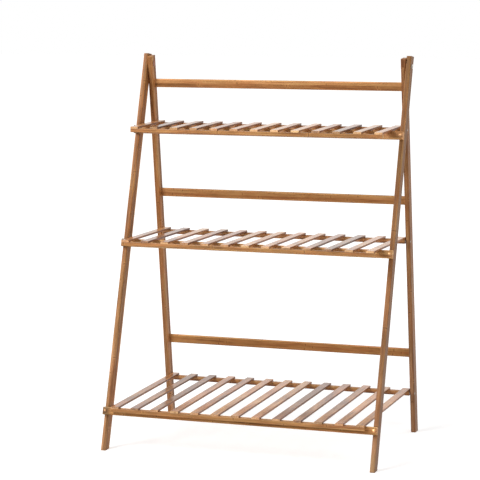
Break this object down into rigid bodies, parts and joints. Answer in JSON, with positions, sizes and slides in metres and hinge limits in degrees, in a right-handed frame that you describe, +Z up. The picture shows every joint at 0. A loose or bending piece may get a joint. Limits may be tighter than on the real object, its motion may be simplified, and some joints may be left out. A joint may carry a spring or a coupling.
{
  "type": "plant ladder stand",
  "caption": "Folding A-frame ladder stand with slatted shelves of growing depth that pivot on the rear legs and rest on the front rails.",
  "frame": {"origin": "on the floor, in the middle of the four feet of the opened stand", "axes": "+X along the shelves to the right seen from the front, +Y from front to rear, +Z up"},
  "size_m": [0.708, 0.4325, 0.9566],
  "materials": {
    "leg_bamboo": "satin",
    "rail_bamboo": "satin",
    "slat_bamboo": "satin",
    "brass_screw": "satin",
    "dark_bolt": "satin",
    "plain_steel": "brushed"
  },
  "bodies": {
    "front_frame": {"front_leg_left": "leg_bamboo", "front_leg_right": "leg_bamboo", "bottom_front_rail": "rail_bamboo", "middle_front_rail": "rail_bamboo", "top_front_rail": "rail_bamboo", "rail_screws": "brass_screw", "hinge_bolts": "dark_bolt", "hinge_sleeves": "plain_steel"},
    "rear_frame": {"rear_leg_left": "leg_bamboo", "rear_leg_right": "leg_bamboo", "bottom_guard_rail": "rail_bamboo", "middle_guard_rail": "rail_bamboo", "top_guard_rail": "rail_bamboo", "shelf_pins": "plain_steel"},
    "bottom_shelf": {"bottom_shelf_strip": "rail_bamboo", "bottom_shelf_rail": "rail_bamboo", "bottom_slat_01": "slat_bamboo", "bottom_slat_02": "slat_bamboo", "bottom_slat_03": "slat_bamboo", "bottom_slat_04": "slat_bamboo", "bottom_slat_05": "slat_bamboo", "bottom_slat_06": "slat_bamboo", "bottom_slat_07": "slat_bamboo", "bottom_slat_08": "slat_bamboo", "bottom_slat_09": "slat_bamboo", "bottom_slat_10": "slat_bamboo", "bottom_slat_11": "slat_bamboo", "bottom_slat_12": "slat_bamboo", "bottom_slat_13": "slat_bamboo"},
    "middle_shelf": {"middle_shelf_strip": "rail_bamboo", "middle_shelf_rail": "rail_bamboo", "middle_slat_01": "slat_bamboo", "middle_slat_02": "slat_bamboo", "middle_slat_03": "slat_bamboo", "middle_slat_04": "slat_bamboo", "middle_slat_05": "slat_bamboo", "middle_slat_06": "slat_bamboo", "middle_slat_07": "slat_bamboo", "middle_slat_08": "slat_bamboo", "middle_slat_09": "slat_bamboo", "middle_slat_10": "slat_bamboo", "middle_slat_11": "slat_bamboo", "middle_slat_12": "slat_bamboo", "middle_slat_13": "slat_bamboo"},
    "top_shelf": {"top_shelf_strip": "rail_bamboo", "top_shelf_rail": "rail_bamboo", "top_slat_01": "slat_bamboo", "top_slat_02": "slat_bamboo", "top_slat_03": "slat_bamboo", "top_slat_04": "slat_bamboo", "top_slat_05": "slat_bamboo", "top_slat_06": "slat_bamboo", "top_slat_07": "slat_bamboo", "top_slat_08": "slat_bamboo", "top_slat_09": "slat_bamboo", "top_slat_10": "slat_bamboo", "top_slat_11": "slat_bamboo", "top_slat_12": "slat_bamboo", "top_slat_13": "slat_bamboo"}
  },
  "joints": [
    {"name": "frame_hinge", "type": "hinge", "parent": "front_frame", "child": "rear_frame", "pos_m": [0, 0.1115, 0.9305], "axis": [-1, 0, 0], "range_deg": [0, 18]},
    {"name": "bottom_shelf_pivot", "type": "hinge", "parent": "rear_frame", "child": "bottom_shelf", "pos_m": [0, 0.18482, 0.1025], "axis": [-1, 0, 0], "range_deg": [0, 80]},
    {"name": "middle_shelf_pivot", "type": "hinge", "parent": "rear_frame", "child": "middle_shelf", "pos_m": [0, 0.14621, 0.4955], "axis": [-1, 0, 0], "range_deg": [0, 79]},
    {"name": "top_shelf_pivot", "type": "hinge", "parent": "rear_frame", "child": "top_shelf", "pos_m": [0, 0.11874, 0.775], "axis": [-1, 0, 0], "range_deg": [0, 82]}
  ]
}
